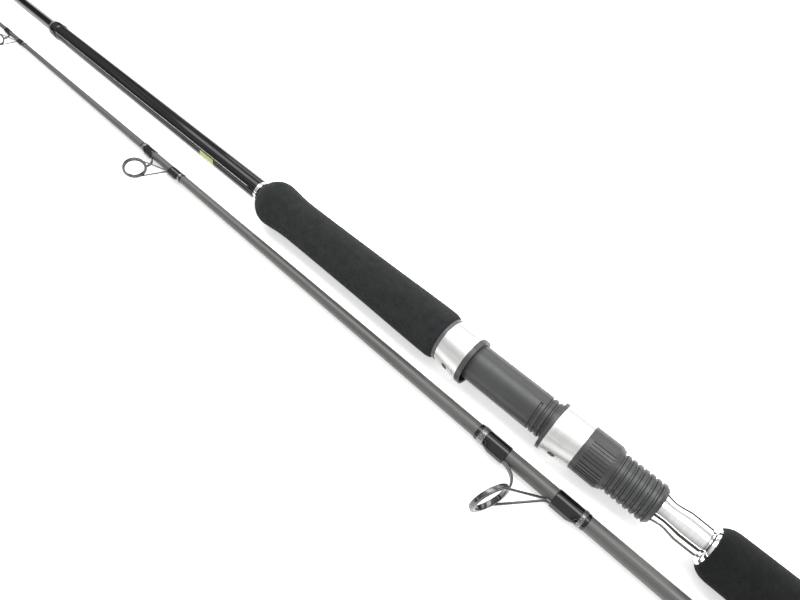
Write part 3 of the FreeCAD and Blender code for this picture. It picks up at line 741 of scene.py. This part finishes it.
def wrap_radius(angle, blank, half_width, top):
    """The distance from the blank's axis to thread pulled over a foot, at an angle from its top."""
    corner = math.hypot(half_width, top)
    if corner <= blank:
        return blank
    corner_angle = math.atan2(half_width, top)
    if angle <= corner_angle:
        return max(blank, top / math.cos(angle))
    reach = math.acos(blank / corner)
    return blank / math.cos(max(0, reach - (angle - corner_angle)))


def wrap_part(start, end, blank, cover, half_width, foot_top, foot_from, foot_to, columns=72):
    """Thread and epoxy round the blank and over a foot that ends at foot_from.

    The wrap's own ends are rounded; the foot's height grows from foot_from to foot_to.
    """
    length = abs(end - start)
    shares = [0, 0.012, 0.04, 0.08] + [0.08 + 0.84 * step / 20 for step in range(1, 21)]
    shares += [0.96, 0.988, 1]
    points = []
    for share in shares:
        station = start + (end - start) * share
        rim = min(share, 1 - share) * length / min(0.1 * length, 1.2)
        fill = math.sqrt(max(0, 1 - (1 - min(1, rim)) ** 2))
        grown = min(1, max(0, (station - foot_from) / (foot_to - foot_from)))
        grown = grown * grown * (3 - 2 * grown)
        top = blank + (foot_top - blank) * grown
        for column in range(columns):
            angle = 2 * math.pi * column / columns
            around = min(angle, 2 * math.pi - angle)
            hull = wrap_radius(around, blank, half_width * grown, top)
            radius = blank - 0.05 + (hull - blank) * min(1, 0.35 + fill) + (cover + 0.05) * fill
            points.append((station, radius * math.sin(angle), radius * math.cos(angle)))
    faces = grid_faces(len(shares), columns, False)
    bore = len(points)
    for station in (start, end):
        for column in range(columns):
            angle = 2 * math.pi * column / columns
            points.append((station, (blank - 0.2) * math.sin(angle), (blank - 0.2) * math.cos(angle)))
    last = (len(shares) - 1) * columns
    for column in range(columns):
        after = (column + 1) % columns
        faces.append((bore + column, bore + after, after, column))
        faces.append((last + column, last + after, bore + columns + after, bore + columns + column))
        faces.append((bore + after, bore + column, bore + columns + column, bore + columns + after))
    if end > start:
        return points, faces
    return points, [tuple(reversed(face)) for face in faces]


def band_part(start, end, radius, bore, columns=72):
    """A short thread band with rounded edges."""
    edge = min(0.25, 0.2 * (end - start))
    outline = [(start, bore), (start, radius - edge), (start + edge, radius),
               (end - edge, radius), (end, radius - edge), (end, bore)]
    points = []
    for station, distance in outline:
        for column in range(columns):
            angle = -2 * math.pi * column / columns
            points.append((station, distance * math.sin(angle), distance * math.cos(angle)))
    return points, grid_faces(len(outline), columns, True)


def turned_section(low, high, half, edge):
    """A rounded rectangle as a (radius, along) outline."""
    corners = [(low, -half, 0), (high, -half, 0), (high, half, 0), (low, half, 0)]
    return [corner[:2] for corner in rounded(corners, edge)]


for guide, (station, ring, blank) in GUIDES.items():
    matrix = on_guide(station)
    foot = blank + FOOT_LIFT * ring
    rise = GUIDE_RISE * ring
    front = leg_line(STRAP_START * ring, STRAP_BEND * ring, STRAP_END * ring,
                     rise - 0.9 * ring - foot)
    frame_points, frame_faces = joined(
        hoop(turned_section(0.88 * ring, ring, 0.11 * ring, 0.05 * ring), rise),
        strap_part(front, foot, STRAP_HALF_WIDTH * ring, FOOT_HALF_THICK * ring, STRAP_TAPER),
        rear_foot(ring, foot),
        *rear_legs(LEGS_START * ring, LEGS_BEND * ring, LEGS_END * ring, LEGS_TOP * ring, foot,
                   LEGS_ASIDE * ring, LEGS_REACH * ring, LEG_RADIUS * ring, LEG_BEND_RADIUS * ring))
    build(guide + "_frame_plated", frame_points, frame_faces, matrix, "guide_metal", "tip_section",
          [guide + "_frame"])
    build(guide + "_ring_ceramic",
          *hoop(turned_section(0.77 * ring, 0.905 * ring, 0.14 * ring, 0.06 * ring), rise), matrix,
          "guide_ceramic", "tip_section", [guide + "_ring"])
    cover = WRAP_COVER * ring
    foot_top = foot + FOOT_HALF_THICK * ring
    band_radius = blank + 1.6 * cover
    band_bore = blank - 0.1
    build(guide + "_front_wrap_epoxy",
          *wrap_part(FRONT_WRAP_START * ring, STRAP_BEND * ring, blank, cover,
                     STRAP_HALF_WIDTH * ring, foot_top, 2 * ring, 1.4 * ring),
          matrix, "wrap_thread", "tip_section", [guide + "_front_wrap"])
    build(guide + "_rear_wrap_epoxy",
          *wrap_part(REAR_WRAP_START * ring, LEGS_BEND * ring, blank, cover, 0.13 * ring,
                     foot_top, -3.5 * ring, -2.9 * ring),
          matrix, "wrap_thread", "tip_section", [guide + "_rear_wrap"])
    build(guide + "_front_band",
          *band_part(FRONT_BAND[0] * ring, FRONT_BAND[1] * ring, band_radius, band_bore), matrix,
          "metallic_thread", "tip_section", [guide + "_trim_front"])
    build(guide + "_rear_band",
          *band_part(REAR_BAND[0] * ring, REAR_BAND[1] * ring, band_radius, band_bore), matrix,
          "metallic_thread", "tip_section", [guide + "_trim_rear"])

TIP_TOP_STATION = 950
TIP_TOP_RING = 3.2
TIP_TOP_RISE = 1.35 * TIP_TOP_RING
TIP_TOP_FOOT = 1.35
tube_points, tube_faces = band_part(-13, 0, 1.5, 0.85, 48)
cap_points, cap_faces = band_part(-0.6, 0, 1.3, 0.02, 48)
tip_points, tip_faces = joined(
    (tube_points, tube_faces),
    (cap_points, cap_faces),
    hoop(turned_section(0.82 * TIP_TOP_RING, TIP_TOP_RING, 0.22 * TIP_TOP_RING, 0.3), TIP_TOP_RISE),
    *rear_legs(-11, -7, -0.02 * TIP_TOP_RING, TIP_TOP_RISE, TIP_TOP_FOOT,
               LEGS_ASIDE * TIP_TOP_RING, LEGS_REACH * TIP_TOP_RING, 0.45))
build("tip_top_frame_plated", tip_points, tip_faces, on_guide(TIP_TOP_STATION), "guide_metal",
      "tip_section", ["tip_top_frame"])
build("tip_top_ring_ceramic",
      *hoop(turned_section(0.6 * TIP_TOP_RING, 0.85 * TIP_TOP_RING, 0.27 * TIP_TOP_RING, 0.35),
            TIP_TOP_RISE),
      on_guide(TIP_TOP_STATION), "guide_ceramic", "tip_section", ["tip_top_ring"])


# ---------------------------------------------------------------- CAD nodes that stay

KEPT_NODES = {
    "seat_barrel": "seat_plastic",
    "movable_hood_insert": "seat_plastic",
    "lock_nut": "seat_plastic",
    "fixed_hood_shell": "hood_metal",
    "movable_hood_shell": "hood_metal",
    "retaining_ring": "ring_steel",
    "seat_arbor_rear": "arbor_foam",
    "seat_arbor_front": "arbor_foam",
}
for node_name, slot_name in KEPT_NODES.items():
    for material_slot in frame["nodes"][node_name].material_slots:
        material_slot.material = MATERIALS[slot_name]


# ---------------------------------------------------------------- floor, light and camera

def make_floor():
    """A flat floor, its half width in metres."""
    half = 6
    mesh = bpy.data.meshes.new("floor")
    mesh.from_pydata([(-half, -half, 0), (half, -half, 0), (half, half, 0), (-half, half, 0)], [],
                     [(0, 1, 2, 3)])
    mesh.materials.append(floor_material())
    floor = bpy.data.objects.new("floor", mesh)
    bpy.context.scene.collection.objects.link(floor)


def add_light(name, place, target, length, depth, power):
    """A soft rectangular light, in metres and watts, whose long side runs along the rod."""
    lamp = bpy.data.lights.new(name, "AREA")
    lamp.shape = "RECTANGLE"
    lamp.size = length
    lamp.size_y = depth
    lamp.energy = power
    light = bpy.data.objects.new(name, lamp)
    light.location = place
    toward = Vector(target) - Vector(place)
    side = Vector((1, 0, 0))
    back = -toward.normalized()
    up = back.cross(side).normalized()
    light.matrix_world = Matrix.Translation(place) @ Matrix((side, up, back)).transposed().to_4x4()
    bpy.context.scene.collection.objects.link(light)


def make_world(horizon, zenith):
    """A studio that is dark at the walls and white overhead.

    horizon and zenith are (sine of the height angle, grey) pairs.
    """
    world = bpy.data.worlds.new("studio")
    world.use_nodes = True
    nodes = world.node_tree.nodes
    links = world.node_tree.links
    place = nodes.new("ShaderNodeTexCoord")
    parts = nodes.new("ShaderNodeSeparateXYZ")
    links.new(place.outputs["Generated"], parts.inputs["Vector"])
    ramp = nodes.new("ShaderNodeValToRGB")
    links.new(parts.outputs["Z"], ramp.inputs["Fac"])
    for element, (position, grey) in zip(ramp.color_ramp.elements, (horizon, zenith)):
        element.position = position
        element.color = (grey, grey, grey, 1)
    links.new(ramp.outputs["Color"], nodes["Background"].inputs["Color"])
    nodes["Background"].inputs["Strength"].default_value = 1
    bpy.context.scene.world = world


def make_camera(place, forward, up, lens):
    camera = bpy.data.objects.new("camera", bpy.data.cameras.new("camera"))
    camera.data.lens = lens
    camera.data.sensor_width = 36
    camera.data.clip_start = 0.01
    forward = Vector(forward).normalized()
    side = forward.cross(Vector(up)).normalized()
    upward = side.cross(forward)
    turned_to = Matrix((side, upward, -forward)).transposed().to_4x4()
    camera.matrix_world = Matrix.Translation(Vector(place) * MM) @ turned_to
    bpy.context.scene.collection.objects.link(camera)
    bpy.context.scene.camera = camera


make_floor()
make_world(horizon=(0.2, 0.06), zenith=(0.9, 0.95))
MIDDLE = (0, 0, 0)
LAMP_LENGTH = 3.0
add_light("key", (0, -0.25, 1.2), MIDDLE, LAMP_LENGTH, depth=0.6, power=24)
add_light("rear_panel", (0, -1.3, 0.75), MIDDLE, LAMP_LENGTH, depth=0.7, power=14)
add_light("side_tube", (0, 1.0, 0.45), MIDDLE, LAMP_LENGTH, depth=0.05, power=3)
make_camera(place=(STATION_ZERO - 69.5, BUTT_AXIS.x + 167.4, BUTT_AXIS.y + 349.8),
            forward=(0.3817, -0.401, -0.8329), up=(0.5751, -0.604, 0.5534), lens=26.64)
view_settings = bpy.context.scene.view_settings
view_settings.view_transform = "Standard"
view_settings.look = "None"
